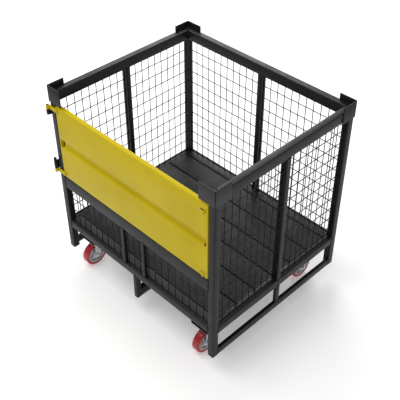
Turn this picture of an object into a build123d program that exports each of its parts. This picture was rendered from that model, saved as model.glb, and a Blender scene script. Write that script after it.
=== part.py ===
# Mobile mesh stillage: a welded tube cage on four swivel castors, with a half-height sheet steel swing gate.
# Origin on the ground under the middle of the cage, +X along the gate side, +Y away from the gate, +Z up.
from build123d import *
import math
import os

# ---- overall sizes (millimetres) ----
width = 1200.0               # over the corner posts, along the gate side
depth = 1000.0               # over the corner posts, front to rear
rail_top = 1188.0            # top of the posts and top rails above the ground
foot_clearance = 100.0       # underside of the feet above the ground
deck_top = 315.0             # loading surface above the ground

# ---- tube sections ----
post_size = 40.0             # square corner post
post_wall = 3.0
tube_wall = 2.5
top_rail_height = 60.0
mid_rail_height = 80.0
mid_post_width = 30.0        # centre posts of the sides and centre foot
deck_rail_height = 50.0
deck_edge_width = 70.0       # front and rear deck rails, front to rear
runner_height = 45.0         # side runners
runner_width = 20.0
centre_runner_height = 60.0
stile_offset = 80.0          # centre of each front stile from the middle
stile_width = 20.0

# ---- stacking guides ----
guide_leg = 105.0
guide_height = 96.0
guide_stand = 32.0           # how far a guide stands above the post
guide_thick = 5.0

# ---- deck ----
plank_count = 6
plank_height = 25.0
plank_sheet = 3.0
plank_gap = 5.0
plank_end_gap = 1.0
bearer_width = 40.0
inner_bearer_x = 155.0

# ---- welded mesh ----
wire = 4.0
mesh_pitch_across = 50.0
mesh_pitch_up = 75.0

# ---- gate ----
gate_gap = 3.0               # to each front post
gate_lift = 4.0              # above the front mid rail
gate_drop = 14.0             # gate's top edge below the stacking guides
gate_depth = 25.0
gate_sheet = 2.0
gate_stand = 1.5             # gate face in front of the posts
mid_rail_top = 648.0
groove_low = 205.0           # lower edge of the pressed groove above the gate's bottom edge
groove_high = 256.0
groove_inset = 10.0          # flat margin of the face at each end of the groove
groove_mouth = 17.0          # open mouth between that margin and the groove's bed
groove_depth = 14.0
groove_slope = 8.0

# ---- gate hinges ----
hinge_out = 12.0             # hinge axis outside the post's side face and in front of its front face
hinge_pin_radius = 5.0
hinge_barrel_radius = 9.0
hinge_head_radius = 8.5
hinge_arm_thick = 6.0
hinge_arm_length = 42.0
strap_thick = 6.0
strap_height = 24.0
strap_reach = 20.0           # strap over the gate's face
hinge_pin_end = 3.0          # pin beyond its strap
strap_gap = 0.4              # above and below each strap eye
pin_play = 0.08              # radial, strap eye on hinge pin
upper_strap_drop = 23.0      # centre of the upper strap below the gate's top edge
lower_strap_rise = 21.0      # centre of the lower strap above the gate's bottom edge
upper_barrel_height = 33.0
lower_barrel_height = 56.0

# ---- gate latches ----
latch_radius = 5.0
latch_play = 0.08
latch_reach = 22.0           # bolt beyond the gate's end when shut
latch_travel = 26.0
latch_length = 120.0
latch_behind = 14.0          # bolt axis behind the gate's face
latch_knob_inset = 18.0      # knob from the gate's end when shut
latch_knob_radius = 7.0
latch_knob_stand = 13.0      # knob centre in front of the gate's face
latch_stem_radius = 4.0
latch_slot_play = 1.5
latch_guide_length = 16.0
latch_guide_size = 18.0
latch_hole_radius = 7.0
upper_latch_drop = 40.0      # below the gate's top edge
lower_latch_rise = 26.0      # above the gate's bottom edge

# ---- castors ----
wheel_radius = 75.0
wheel_width = 45.0
tyre_thick = 16.0
trail = 30.0                 # wheel axis from the swivel axis
swing_gap = 7.5              # tyre to side runner as the castor turns
castor_inset = 105.0         # swivel axis from the cage's front or rear
crown_gap = 10.0             # tyre to fork crown
top_plate_x = 110.0
top_plate_y = 135.0
top_plate_thick = 6.0
bolt_spacing_x = 80.0
bolt_spacing_y = 105.0
bolt_radius = 5.0
bolt_play = 0.5
nut_height = 8.0
nut_across = 16.0
raceway_radius = 33.0
raceway_height = 16.0
king_radius = 6.0
king_head_radius = 11.0
king_head_height = 7.7
swivel_gap = 0.3
crown_thick = 7.7
fork_plate = 4.0
fork_side_gap = 2.0          # wheel boss to each fork leg
axle_radius = 6.0
axle_play = 0.06
axle_head_height = 7.0
axle_across = 19.0
pad_x = 120.0
pad_y = 140.0
pad_wall = 4.0

# ---- worked out ----
half_w = width / 2
half_d = depth / 2
in_x = half_w - post_size
in_y = half_d - post_size
deck_low = deck_top - deck_rail_height
top_low = rail_top - top_rail_height
mid_low = mid_rail_top - mid_rail_height
gate_bottom = mid_rail_top + gate_lift
gate_top = rail_top + guide_stand - guide_height - gate_drop
gate_x = in_x - gate_gap
gate_face = -half_d - gate_stand
gate_back = gate_face + gate_depth
hinge_x = -half_w - hinge_out
hinge_y = -half_d - hinge_out
upper_strap_z = gate_top - upper_strap_drop
lower_strap_z = gate_bottom + lower_strap_rise
latch_y = gate_face + latch_behind
latch_heights = {"upper": gate_top - upper_latch_drop, "lower": gate_bottom + lower_latch_rise}
knob_x = gate_x - latch_knob_inset
boss_half = wheel_width / 2 + 1.0
leg_inner = boss_half + fork_side_gap
leg_outer = leg_inner + fork_plate
crown_low = 2 * wheel_radius + crown_gap
crown_top = crown_low + crown_thick
race_low = crown_top + swivel_gap
plate_low = race_low + raceway_height
castor_height = plate_low + top_plate_thick
swing_radius = math.hypot(trail + wheel_radius, wheel_width / 2)
castor_x = round(half_w - runner_width - swing_gap - swing_radius)
castor_y = half_d - castor_inset
runner_top = foot_clearance + runner_height
castors = {
    "front_left": (-castor_x, -castor_y),
    "front_right": (castor_x, -castor_y),
    "rear_left": (-castor_x, castor_y),
    "rear_right": (castor_x, castor_y),
}


# ---- shapes ----
def block(x, y, z):
    """Box between three pairs of limits."""
    centre = (sum(x) / 2, sum(y) / 2, sum(z) / 2)
    return Pos(*centre) * Box(x[1] - x[0], y[1] - y[0], z[1] - z[0])


def shrink(limits, wall):
    return (limits[0] + wall, limits[1] - wall)


def tube(x, y, z, along, wall=tube_wall):
    """Hollow rectangular tube, open at both ends along one axis."""
    limits = {"x": x, "y": y, "z": z}
    inner = {name: pair if name == along else shrink(pair, wall) for name, pair in limits.items()}
    return block(x, y, z) - block(inner["x"], inner["y"], inner["z"])


def upright(x, y, z, radius):
    """Round bar standing between two heights."""
    return Pos(x, y, sum(z) / 2) * Cylinder(radius, z[1] - z[0])


def bar_x(x, y, z, radius):
    """Round bar lying along X."""
    return Pos(sum(x) / 2, y, z) * Rot(0, 90, 0) * Cylinder(radius, x[1] - x[0])


def hexagon(across, height):
    return extrude(RegularPolygon(across / 2, 6, major_radius=False), amount=height)


def grille(span_a, span_z):
    """Welded mesh panel as a plate of square openings, in the XZ plane and centred on Y = 0."""
    wide = span_a[1] - span_a[0]
    tall = span_z[1] - span_z[0]
    across = round(wide / mesh_pitch_across)
    up = round(tall / mesh_pitch_up)
    pitch_a = (wide - wire) / across
    pitch_z = (tall - wire) / up
    opening = Wire.make_rect(pitch_a - wire, pitch_z - wire)
    openings = [spot * opening for spot in GridLocations(pitch_a, pitch_z, across, up)]
    sheet = Face(Wire.make_rect(wide, tall), openings)
    flat = extrude(Plane.XZ.offset(-wire / 2) * sheet, amount=wire)
    return Pos(sum(span_a) / 2, 0, sum(span_z) / 2) * flat


def save(node, *solids):
    shape = solids[0] if len(solids) == 1 else Compound(children=[Compound(s.wrapped) for s in solids])
    export_step(shape, "parts/" + node + ".step")


# ---- corner posts and stacking guides ----
def corner_post(sx, sy):
    """Hollow post, closed at the top and open at the foot."""
    x = sorted((sx * half_w, sx * in_x))
    y = sorted((sy * half_d, sy * in_y))
    post = block(x, y, (foot_clearance, rail_top))
    post -= block(shrink(x, post_wall), shrink(y, post_wall), (foot_clearance, rail_top - post_wall))
    if sx > 0 and sy < 0:
        for height in latch_heights.values():
            wall = (in_x - 1, in_x + post_wall + 1)
            post -= bar_x(wall, latch_y, height, latch_hole_radius)
    return post


def stacking_guide(sx, sy):
    """Angle of plate welded round the outside of a post, standing above it."""
    z = (rail_top + guide_stand - guide_height, rail_top + guide_stand)
    out_x = sx * (half_w + guide_thick)
    out_y = sy * (half_d + guide_thick)
    side = block(sorted((out_x, sx * half_w)), sorted((out_y, out_y - sy * guide_leg)), z)
    face = block(sorted((out_x, out_x - sx * guide_leg)), sorted((out_y, sy * half_d)), z)
    return side + face


# ---- castor pieces, each about its own swivel axis ----
def wheel_axis(x, y):
    return Pos(x, y - trail, wheel_radius) * Rot(0, 90, 0)


def tyre(x, y):
    """Cast polyurethane tread with rounded shoulders."""
    tread = Cylinder(wheel_radius, wheel_width)
    tread = fillet(tread.edges().filter_by(GeomType.CIRCLE), wheel_width / 6)
    return wheel_axis(x, y) * (tread - Cylinder(wheel_radius - tyre_thick, wheel_width))


def hub(x, y):
    """Wheel centre: rim, web and boss, bored for the axle."""
    rim_radius = wheel_radius - tyre_thick
    rim = Cylinder(rim_radius, wheel_width - 4) - Cylinder(rim_radius - 7, wheel_width - 4)
    web = Cylinder(rim_radius - 7, 10)
    boss = Cylinder(axle_radius + 11, 2 * boss_half)
    return wheel_axis(x, y) * (rim + web + boss - Cylinder(axle_radius + axle_play, 3 * wheel_width))


def fork(x, y):
    """Pressed steel fork: a round crown and two tapered legs."""
    lower = Pos(-trail, wheel_radius) * Circle(axle_radius + 13)
    upper = Pos(-trail / 3, crown_low + crown_thick / 2) * Rectangle(64, crown_thick)
    outline = make_hull((lower + upper).edges())
    leg = extrude(Plane.YZ * outline, amount=fork_plate)
    legs = Pos(leg_inner, 0, 0) * leg + Pos(-leg_outer, 0, 0) * leg
    crown = upright(0, 0, (crown_low, crown_top), raceway_radius + 2)
    crown += block((-leg_outer, leg_outer), (-trail / 3 - 32, -trail / 3 + 32), (crown_low, crown_top))
    shape = legs + crown - upright(0, 0, (crown_low, crown_top), king_radius + pin_play)
    shape -= bar_x((-leg_outer, leg_outer), -trail, wheel_radius, axle_radius)
    return Pos(x, y, 0) * shape


def axle(x, y):
    """Hexagon bolt through the fork and wheel, with its nut."""
    head = Pos(-leg_outer, -trail, wheel_radius) * Rot(0, -90, 0) * hexagon(axle_across, axle_head_height)
    tail = leg_outer + axle_head_height + 4
    shank = bar_x((-leg_outer, tail), -trail, wheel_radius, axle_radius)
    nut = Pos(leg_outer, -trail, wheel_radius) * Rot(0, 90, 0) * hexagon(axle_across, axle_head_height + 1)
    nut -= bar_x((leg_outer - 1, tail + 1), -trail, wheel_radius, axle_radius)
    return Pos(x, y, 0) * (head + shank), Pos(x, y, 0) * nut


def bolt_places(x, y):
    return [Pos(x, y, 0) * spot for spot in GridLocations(bolt_spacing_x, bolt_spacing_y, 2, 2)]


def top_plate(x, y):
    plate = block((x - top_plate_x / 2, x + top_plate_x / 2), (y - top_plate_y / 2, y + top_plate_y / 2),
                  (plate_low, castor_height))
    plate += upright(x, y, (race_low, plate_low), raceway_radius)
    plate -= upright(x, y, (race_low, castor_height), king_radius)
    for spot in bolt_places(x, y):
        plate -= spot * upright(0, 0, (plate_low, castor_height), bolt_radius + bolt_play)
    return plate


def king_bolt(x, y):
    head_top = crown_low - swivel_gap
    head = upright(x, y, (head_top - king_head_height, head_top), king_head_radius)
    return head + upright(x, y, (head_top - 1, castor_height), king_radius)


def pad(x, y):
    """Short box section between a castor's top plate and the deck bearer above it."""
    shape = tube((x - pad_x / 2, x + pad_x / 2), (y - pad_y / 2, y + pad_y / 2),
                 (castor_height, deck_low), "y", pad_wall)
    for spot in bolt_places(x, y):
        hole = (castor_height - 1, castor_height + pad_wall + 1)
        shape -= spot * upright(0, 0, hole, bolt_radius + bolt_play)
    return shape


def castor_bolts(x, y):
    """Four hexagon bolts up through the plate and the pad, each with a nut inside the pad."""
    nut_low = castor_height + pad_wall
    solids = []
    for spot in bolt_places(x, y):
        head = Pos(0, 0, plate_low - nut_height + 1) * hexagon(nut_across, nut_height - 1)
        shank = upright(0, 0, (plate_low, nut_low + nut_height + 3), bolt_radius)
        nut = Pos(0, 0, nut_low) * hexagon(nut_across, nut_height)
        nut -= upright(0, 0, (nut_low - 1, nut_low + nut_height + 1), bolt_radius)
        solids += [spot * (head + shank), spot * nut]
    return solids


# ---- gate pieces ----
def groove_section():
    """Section of the pressed groove in the YZ plane: two sloping walls and the bed between them."""
    front, bed = gate_face, gate_face + groove_depth
    low, high = gate_bottom + groove_low, gate_bottom + groove_high
    points = [
        (front, low), (bed, low + groove_slope), (bed, high - groove_slope), (front, high),
        (front, high + gate_sheet), (bed + gate_sheet, high - groove_slope + gate_sheet / 2),
        (bed + gate_sheet, low + groove_slope - gate_sheet / 2), (front, low - gate_sheet),
    ]
    return make_face(Polyline(*points, close=True))


def gate_panel():
    """Folded tray, open at the back: its face carries a pressed groove with an open mouth at each end."""
    z = (gate_bottom, gate_top)
    panel = block((-gate_x, gate_x), (gate_face, gate_back), z)
    panel -= block(shrink((-gate_x, gate_x), gate_sheet), (gate_face + gate_sheet, gate_back),
                   shrink(z, gate_sheet))
    groove_x = gate_x - groove_inset
    gap = (gate_bottom + groove_low, gate_bottom + groove_high)
    panel -= block((-groove_x, groove_x), (gate_face, gate_face + gate_sheet), gap)
    bed_x = groove_x - groove_mouth
    panel += extrude(Plane.YZ.offset(-bed_x) * groove_section(), amount=2 * bed_x)
    half_slot = latch_stem_radius + latch_slot_play
    slot = (knob_x - latch_travel - half_slot, knob_x + half_slot)
    through = (gate_face, gate_face + gate_sheet)
    for height in latch_heights.values():
        panel -= block(slot, through, (height - half_slot, height + half_slot))
        panel -= bar_x((gate_x - gate_sheet - 1, gate_x + 1), latch_y, height, latch_radius + latch_play)
    return panel


def gate_strap(height):
    """Flat bar from the gate's face round the hinge pin."""
    z = (height - strap_height / 2, height + strap_height / 2)
    bar = block((hinge_x, -gate_x + strap_reach), (gate_face - strap_thick, gate_face), z)
    eye = upright(hinge_x, hinge_y, z, hinge_barrel_radius)
    return bar + eye - upright(hinge_x, hinge_y, z, hinge_pin_radius + pin_play)


def hinge_piece(z):
    """Barrel on an arm that lies along the post's outer side."""
    arm = block((-half_w - hinge_arm_thick, -half_w), (hinge_y, hinge_y + hinge_arm_length), z)
    barrel = upright(hinge_x, hinge_y, z, hinge_barrel_radius)
    return arm + barrel - upright(hinge_x, hinge_y, z, hinge_pin_radius)


def upper_barrel():
    """Heights of the barrel that the upper strap rests on."""
    top = upper_strap_z - strap_height / 2 - strap_gap
    return (top - upper_barrel_height, top)


def lower_barrel():
    """Heights of the barrel that keeps the lower strap down."""
    low = lower_strap_z + strap_height / 2 + strap_gap
    return (low, low + lower_barrel_height)


def upper_pin():
    top = upper_strap_z + strap_height / 2 + hinge_pin_end
    return upright(hinge_x, hinge_y, (upper_barrel()[0], top), hinge_pin_radius)


def lower_pin():
    low = lower_strap_z - strap_height / 2 - hinge_pin_end
    top = lower_barrel()[1] + 2
    head = Pos(hinge_x, hinge_y, top + hinge_head_radius - 3) * Sphere(hinge_head_radius)
    return upright(hinge_x, hinge_y, (low, top), hinge_pin_radius) + head


def latch_bolt(height):
    """Round bolt with a stem through the gate's slot and a ball knob."""
    tip = gate_x + latch_reach
    bolt = bar_x((tip - latch_length, tip), latch_y, height, latch_radius)
    knob_y = gate_face - latch_knob_stand
    stem_length = latch_y - knob_y
    stem = Cylinder(latch_stem_radius, stem_length)
    stem = Pos(knob_x, knob_y + stem_length / 2, height) * Rot(90, 0, 0) * stem
    return bolt + stem + Pos(knob_x, knob_y, height) * Sphere(latch_knob_radius)


def latch_guide(height):
    right = gate_x + latch_reach - latch_length + latch_travel + latch_guide_length
    x = (right - latch_guide_length, right)
    y = (gate_face + gate_sheet, gate_face + gate_sheet + latch_guide_size)
    z = (height - latch_guide_size / 2, height + latch_guide_size / 2)
    return block(x, y, z) - bar_x((x[0] - 1, x[1] + 1), latch_y, height, latch_radius + latch_play)


# ---- build and save ----
os.makedirs("parts", exist_ok=True)
sides = {"left": -1, "right": 1}
ends = {"front": -1, "rear": 1}
mid_half = mid_post_width / 2

for end, sy in ends.items():
    for side, sx in sides.items():
        save(f"post_{end}_{side}", corner_post(sx, sy))
        save(f"stacking_guide_{end}_{side}", stacking_guide(sx, sy))

for side, sx in sides.items():
    x = sorted((sx * half_w, sx * in_x))
    save(f"top_rail_{side}", tube(x, (-in_y, in_y), (top_low, rail_top), "y"))
    save(f"mid_post_{side}", tube(x, (-mid_half, mid_half), (deck_top, top_low), "z"))
    save(f"deck_rail_{side}", tube(x, (-in_y, in_y), (deck_low, deck_top), "y"))
    runner_x = sorted((sx * half_w, sx * (half_w - runner_width)))
    save(f"runner_{side}", tube(runner_x, (-in_y, in_y), (foot_clearance, runner_top), "y"))
    upright_mesh = Pos(sx * (half_w - post_size / 2), 0, 0) * Rot(0, 0, 90)
    spans = ((-in_y, -mid_half), (mid_half, in_y))
    bays = [upright_mesh * grille(span, (deck_top, top_low)) for span in spans]
    save(f"mesh_{side}", *bays)

rear_y = (in_y, half_d)
front_y = (-half_d, -in_y)
save("top_rail_rear", tube((-in_x, in_x), rear_y, (top_low, rail_top), "x"))
save("mid_post_rear", tube((-mid_half, mid_half), rear_y, (deck_top, top_low), "z"))
save("front_mid_rail", tube((-in_x, in_x), front_y, (mid_low, mid_rail_top), "x"))
for end, sy in ends.items():
    y = sorted((sy * half_d, sy * (half_d - deck_edge_width)))
    save(f"deck_rail_{end}", tube((-in_x, in_x), y, (deck_low, deck_top), "x"))

stile_half = stile_width / 2
stile_y = (-half_d, -half_d + post_size / 2 + wire / 2)
stiles = [tube((c - stile_half, c + stile_half), stile_y, (deck_top, mid_low), "z")
          for c in (-stile_offset, stile_offset)]
save("front_stiles", *stiles)

mesh_y = half_d - post_size / 2
rear_spans = ((-in_x, -mid_half), (mid_half, in_x))
save("mesh_rear", *[Pos(0, mesh_y, 0) * grille(span, (deck_top, top_low)) for span in rear_spans])
stile_out = stile_offset + stile_half
stile_in = stile_offset - stile_half
front_spans = ((-in_x, -stile_out), (-stile_in, stile_in), (stile_out, in_x))
save("mesh_front", *[Pos(0, -mesh_y, 0) * grille(span, (deck_top, mid_low)) for span in front_spans])

# the centre runner stands on a foot at each end, and short struts carry the side runners' middles
foot_low_y = half_d - mid_post_width
centre_z = (foot_clearance, foot_clearance + centre_runner_height)
save("runner_centre", tube((-mid_half, mid_half), (-foot_low_y, foot_low_y), centre_z, "y"))
feet = [tube((-mid_half, mid_half), sorted((sy * half_d, sy * foot_low_y)), (foot_clearance, deck_low), "z")
        for sy in ends.values()]
struts = [tube(sorted((sx * half_w, sx * (half_w - runner_width))), (-mid_half, mid_half),
               (runner_top, deck_low), "z")
          for sx in sides.values()]
save("runner_struts", *feet, *struts)

# deck: bearers front to rear, folded planks across them
plank_low = deck_top - plank_height
bearer_y = (-half_d + deck_edge_width, half_d - deck_edge_width)
bearers = [tube((c - bearer_width / 2, c + bearer_width / 2), bearer_y, (deck_low, plank_low), "y")
           for c in (-castor_x, -inner_bearer_x, inner_bearer_x, castor_x)]
save("deck_bearers", *bearers)
plank_pitch = (bearer_y[1] - bearer_y[0] - plank_gap) / plank_count
plank_x = (-in_x + plank_end_gap, in_x - plank_end_gap)
planks = []
for i in range(plank_count):
    start = bearer_y[0] + plank_gap + i * plank_pitch
    y = (start, start + plank_pitch - plank_gap)
    planks.append(block(plank_x, y, (plank_low, deck_top))
                  - block(plank_x, shrink(y, plank_sheet), (plank_low, deck_top - plank_sheet)))
save("deck_planks", *planks)

# gate, hinges and latches
save("gate_panel", gate_panel())
save("gate_straps", gate_strap(upper_strap_z), gate_strap(lower_strap_z))
save("hinge_brackets", hinge_piece(upper_barrel()), hinge_piece(lower_barrel()))
save("hinge_pins", upper_pin(), lower_pin())
for name, height in latch_heights.items():
    save(f"latch_bolt_{name}", latch_bolt(height))
save("latch_guides", *[latch_guide(height) for height in latch_heights.values()])

# castors
for name, place in castors.items():
    save(f"castor_plate_{name}", top_plate(*place))
    save(f"castor_fork_{name}", fork(*place))
    save(f"castor_axle_{name}", *axle(*place))
    save(f"castor_hub_{name}", hub(*place))
    save(f"castor_tyre_{name}", tyre(*place))
save("castor_pads", *[pad(*place) for place in castors.values()])
save("king_bolts", *[king_bolt(*place) for place in castors.values()])
save("castor_bolts", *[bolt for place in castors.values() for bolt in castor_bolts(*place)])
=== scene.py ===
import math

import bmesh
import bpy
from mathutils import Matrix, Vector


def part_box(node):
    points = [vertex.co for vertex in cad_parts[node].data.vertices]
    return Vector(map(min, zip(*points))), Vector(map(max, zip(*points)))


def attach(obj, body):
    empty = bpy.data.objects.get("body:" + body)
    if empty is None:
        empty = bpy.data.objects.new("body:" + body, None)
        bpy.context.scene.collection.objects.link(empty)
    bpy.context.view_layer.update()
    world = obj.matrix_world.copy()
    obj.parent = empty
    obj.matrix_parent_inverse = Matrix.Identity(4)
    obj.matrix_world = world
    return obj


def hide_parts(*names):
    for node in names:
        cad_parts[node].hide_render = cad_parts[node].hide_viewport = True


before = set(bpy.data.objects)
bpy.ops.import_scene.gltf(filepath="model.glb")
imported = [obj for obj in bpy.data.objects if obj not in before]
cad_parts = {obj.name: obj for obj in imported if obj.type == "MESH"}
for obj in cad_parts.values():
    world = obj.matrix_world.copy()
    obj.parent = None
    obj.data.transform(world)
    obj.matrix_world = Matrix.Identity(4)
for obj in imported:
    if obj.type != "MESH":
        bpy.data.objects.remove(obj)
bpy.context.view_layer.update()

MM = 0.001


# ---- corner posts ----
# Four lengths of 40 mm square steel tube stand at the corners, capped at the top and open at the foot.
# The tube is drawn with rolled corners, cut square, and the whole cage is powder coated satin charcoal
# after welding, so every tube of it wears the same coat.
POST_WALL = 3 * MM
POST_CORNER = 5 * MM
LATCH_HOLE = 7 * MM


def linear(colour):
    """An sRGB hex colour as the linear numbers that a shader takes."""
    channels = [int(colour[i:i + 2], 16) / 255 for i in (1, 3, 5)]
    return [c / 12.92 if c <= 0.04045 else ((c + 0.055) / 1.055) ** 2.4 for c in channels] + [1.0]


def new_material(name):
    """An empty material, ready for its nodes."""
    made = bpy.data.materials.new(name)
    made.use_nodes = True
    made.node_tree.nodes.clear()
    return made


def add_node(material, kind, inputs={}, **settings):
    """One shader node with its settings. An input is given a number, a colour, or another node's output."""
    made = material.node_tree.nodes.new(kind)
    for name, value in settings.items():
        setattr(made, name, value)
    for name, value in inputs.items():
        if isinstance(value, bpy.types.NodeSocket):
            material.node_tree.links.new(value, made.inputs[name])
        else:
            made.inputs[name].default_value = value
    return made


# Polyester powder coat on steel, satin charcoal: a dark coat with a faint orange peel of about 2 mm,
# a little paler where dust has settled in it and duller where it has been handled.
charcoal = new_material("powder_coated_steel_charcoal")
place = add_node(charcoal, "ShaderNodeTexCoord").outputs["Object"]
dust = add_node(charcoal, "ShaderNodeTexNoise", {
    "Vector": place, "Scale": 9.0, "Detail": 6.0, "Roughness": 0.62})
dusty = add_node(charcoal, "ShaderNodeMapRange", {0: dust.outputs["Fac"], 1: 0.42, 2: 0.72})
shade = add_node(charcoal, "ShaderNodeMix", {0: dusty.outputs[0], 6: linear("#161618"), 7: linear("#1f1f21")},
                 data_type="RGBA")
gloss = add_node(charcoal, "ShaderNodeMapRange", {0: dust.outputs["Fac"], 1: 0.3, 2: 0.7, 3: 0.38, 4: 0.52})
peel = add_node(charcoal, "ShaderNodeTexNoise", {"Vector": place, "Scale": 480.0, "Detail": 1.0})
bump = add_node(charcoal, "ShaderNodeBump", {
    "Height": peel.outputs["Fac"], "Strength": 0.12, "Distance": 0.0004})
coat = add_node(charcoal, "ShaderNodeBsdfPrincipled", {
    "Base Color": shade.outputs[2], "Roughness": gloss.outputs[0], "Normal": bump.outputs[0], "IOR": 1.5,
    "Specular IOR Level": 0.22})
add_node(charcoal, "ShaderNodeOutputMaterial", {"Surface": coat.outputs[0]})


def start_block(name, low, high):
    """A block between two corners, left open in edit mode with nothing selected."""
    bpy.ops.object.select_all(action="DESELECT")
    low, high = Vector(low), Vector(high)
    bpy.ops.mesh.primitive_cube_add(size=1, location=(low + high) / 2)
    piece = bpy.context.object
    piece.name = piece.data.name = name
    piece.scale = high - low
    bpy.ops.object.transform_apply(location=True, rotation=True, scale=True)
    bpy.ops.object.mode_set(mode="EDIT")
    bpy.ops.mesh.select_all(action="DESELECT")
    return piece


def pick(kind, wanted):
    """Selects only what passes a test: faces by centre and normal, edges by middle and direction."""
    bpy.ops.mesh.select_mode(type=kind)
    bpy.ops.mesh.select_all(action="DESELECT")
    mesh = bmesh.from_edit_mesh(bpy.context.object.data)
    if kind == "FACE":
        for face in mesh.faces:
            face.select_set(bool(wanted(face.calc_center_median(), face.normal)))
    else:
        for edge in mesh.edges:
            a, b = (corner.co for corner in edge.verts)
            edge.select_set(bool(wanted((a + b) / 2, (b - a).normalized())))
    mesh.select_flush_mode()
    bmesh.update_edit_mesh(bpy.context.object.data)


def close_piece(piece, material, angle=40):
    """Leaves edit mode with the faces turned outwards, smooth round the bends and sharp at the corners."""
    if bpy.context.mode != "OBJECT":
        bpy.ops.mesh.select_all(action="SELECT")
        bpy.ops.mesh.normals_make_consistent(inside=False)
        bpy.ops.object.mode_set(mode="OBJECT")
    bpy.ops.object.select_all(action="DESELECT")
    piece.select_set(True)
    bpy.context.view_layer.objects.active = piece
    bpy.ops.object.shade_smooth_by_angle(angle=math.radians(angle))
    piece.data.materials.clear()
    piece.data.materials.append(material)
    return piece


AXES = {"x": Vector((1, 0, 0)), "y": Vector((0, 1, 0)), "z": Vector((0, 0, 1))}


def box_tube(name, low, high, along, wall, corner, capped=False):
    """A length of box section with rolled corners, bored through, or up to a cap at its far end."""
    piece = start_block(name, low, high)
    axis = AXES[along]
    length = (Vector(high) - Vector(low)).dot(axis)
    pick("EDGE", lambda centre, line: abs(line.dot(axis)) > 0.9)
    bpy.ops.mesh.bevel(offset=corner, segments=3, affect="EDGES")
    pick("FACE", lambda centre, out: out.dot(axis) < -0.9 or (out.dot(axis) > 0.9 and not capped))
    bpy.ops.mesh.inset(thickness=wall, use_even_offset=True)
    if capped:
        bpy.ops.mesh.extrude_region_move(TRANSFORM_OT_translate={"value": axis * (length - wall)})
    else:
        bpy.ops.mesh.bridge_edge_loops()
    return close_piece(piece, charcoal)


def cut(piece, cutter, operation="DIFFERENCE"):
    """Takes one closed shape out of another, or welds it on, and throws the cutter away."""
    bpy.ops.object.select_all(action="DESELECT")
    bpy.context.view_layer.objects.active = piece
    piece.select_set(True)
    tool = piece.modifiers.new("cut", "BOOLEAN")
    tool.operation, tool.object, tool.solver = operation, cutter, "EXACT"
    bpy.ops.object.modifier_apply(modifier="cut")
    bpy.data.objects.remove(cutter)


def rod(name, start, end, radius, sides=24, chamfer=0.0):
    """A round bar between two points, its rims broken by a chamfer."""
    bpy.ops.object.select_all(action="DESELECT")
    start, end = Vector(start), Vector(end)
    run = end - start
    bpy.ops.mesh.primitive_cylinder_add(vertices=sides, radius=radius, depth=run.length,
                                        location=(start + end) / 2,
                                        rotation=run.to_track_quat("Z", "Y").to_euler())
    piece = bpy.context.object
    piece.name = piece.data.name = name
    bpy.ops.object.transform_apply(location=True, rotation=True, scale=True)
    if chamfer:
        way = run.normalized()
        bpy.ops.object.mode_set(mode="EDIT")
        pick("EDGE", lambda centre, line: abs(line.dot(way)) < 0.5)
        bpy.ops.mesh.bevel(offset=chamfer, segments=2, affect="EDGES")
        bpy.ops.object.mode_set(mode="OBJECT")
    return piece


latch_axes = []
for name in ("upper", "lower"):
    low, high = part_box("latch_bolt_" + name)
    latch_axes.append(((low.z + high.z) / 2, high.y - 5 * MM))
for end in ("front", "rear"):
    for side in ("left", "right"):
        node = f"post_{end}_{side}"
        low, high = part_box(node)
        post = box_tube("corner_" + node, low, high, "z", POST_WALL, POST_CORNER, capped=True)
        if node == "post_front_right":
            for height, latch_y in latch_axes:
                hole = rod("hole", (low.x - 0.01, latch_y, height), (low.x + 0.01, latch_y, height),
                           LATCH_HOLE)
                cut(post, hole)
            close_piece(post, charcoal)
        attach(post, "frame")
        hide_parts(node)


# ---- rails, stiles and runners ----
# Lighter rectangular tube, 2.5 mm wall, is cut to butt between the posts: rails round the top, a mid rail
# under the gate, rails round the deck, the centre uprights, and the runners and feet that carry a fork.
TUBE_WALL = 2.5 * MM
TUBE_CORNER = 4 * MM

rails = {
    "top_rail_left": "y", "top_rail_right": "y", "top_rail_rear": "x", "front_mid_rail": "x",
    "mid_post_left": "z", "mid_post_right": "z", "mid_post_rear": "z",
    "deck_rail_left": "y", "deck_rail_right": "y", "deck_rail_front": "x", "deck_rail_rear": "x",
    "runner_left": "y", "runner_right": "y", "runner_centre": "y",
}
for node, along in rails.items():
    low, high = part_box(node)
    rail = box_tube("tube_" + node, low, high, along, TUBE_WALL, TUBE_CORNER)
    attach(rail, "frame")
    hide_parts(node)


def gather(name, parts):
    """Joins several finished shapes into one piece."""
    bpy.ops.object.select_all(action="DESELECT")
    for part in parts:
        part.select_set(True)
    bpy.context.view_layer.objects.active = parts[0]
    if len(parts) > 1:
        bpy.ops.object.join()
    parts[0].name = parts[0].data.name = name
    return parts[0]


MID_TUBE, STILE = 30 * MM, 20 * MM
low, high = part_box("front_stiles")
stiles = [box_tube("stile", (a, low.y, low.z), (b, high.y, high.z), "z", TUBE_WALL, TUBE_CORNER)
          for a, b in ((low.x, low.x + STILE), (high.x - STILE, high.x))]
stiles = gather("tube_front_stiles", stiles)

low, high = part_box("runner_struts")
run_low, run_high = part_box("runner_left")
half_mid = MID_TUBE / 2
legs = [box_tube("foot", (-half_mid, a, low.z), (half_mid, b, high.z), "z", TUBE_WALL, TUBE_CORNER)
        for a, b in ((low.y, low.y + MID_TUBE), (high.y - MID_TUBE, high.y))]
runner_wide = run_high.x - run_low.x
legs += [box_tube("strut", (a, -half_mid, run_high.z), (b, half_mid, high.z), "z", TUBE_WALL, TUBE_CORNER)
         for a, b in ((low.x, low.x + runner_wide), (high.x - runner_wide, high.x))]
struts = gather("tube_runner_struts", legs)
for piece, node in ((stiles, "front_stiles"), (struts, "runner_struts")):
    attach(piece, "frame")
    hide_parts(node)


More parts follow.
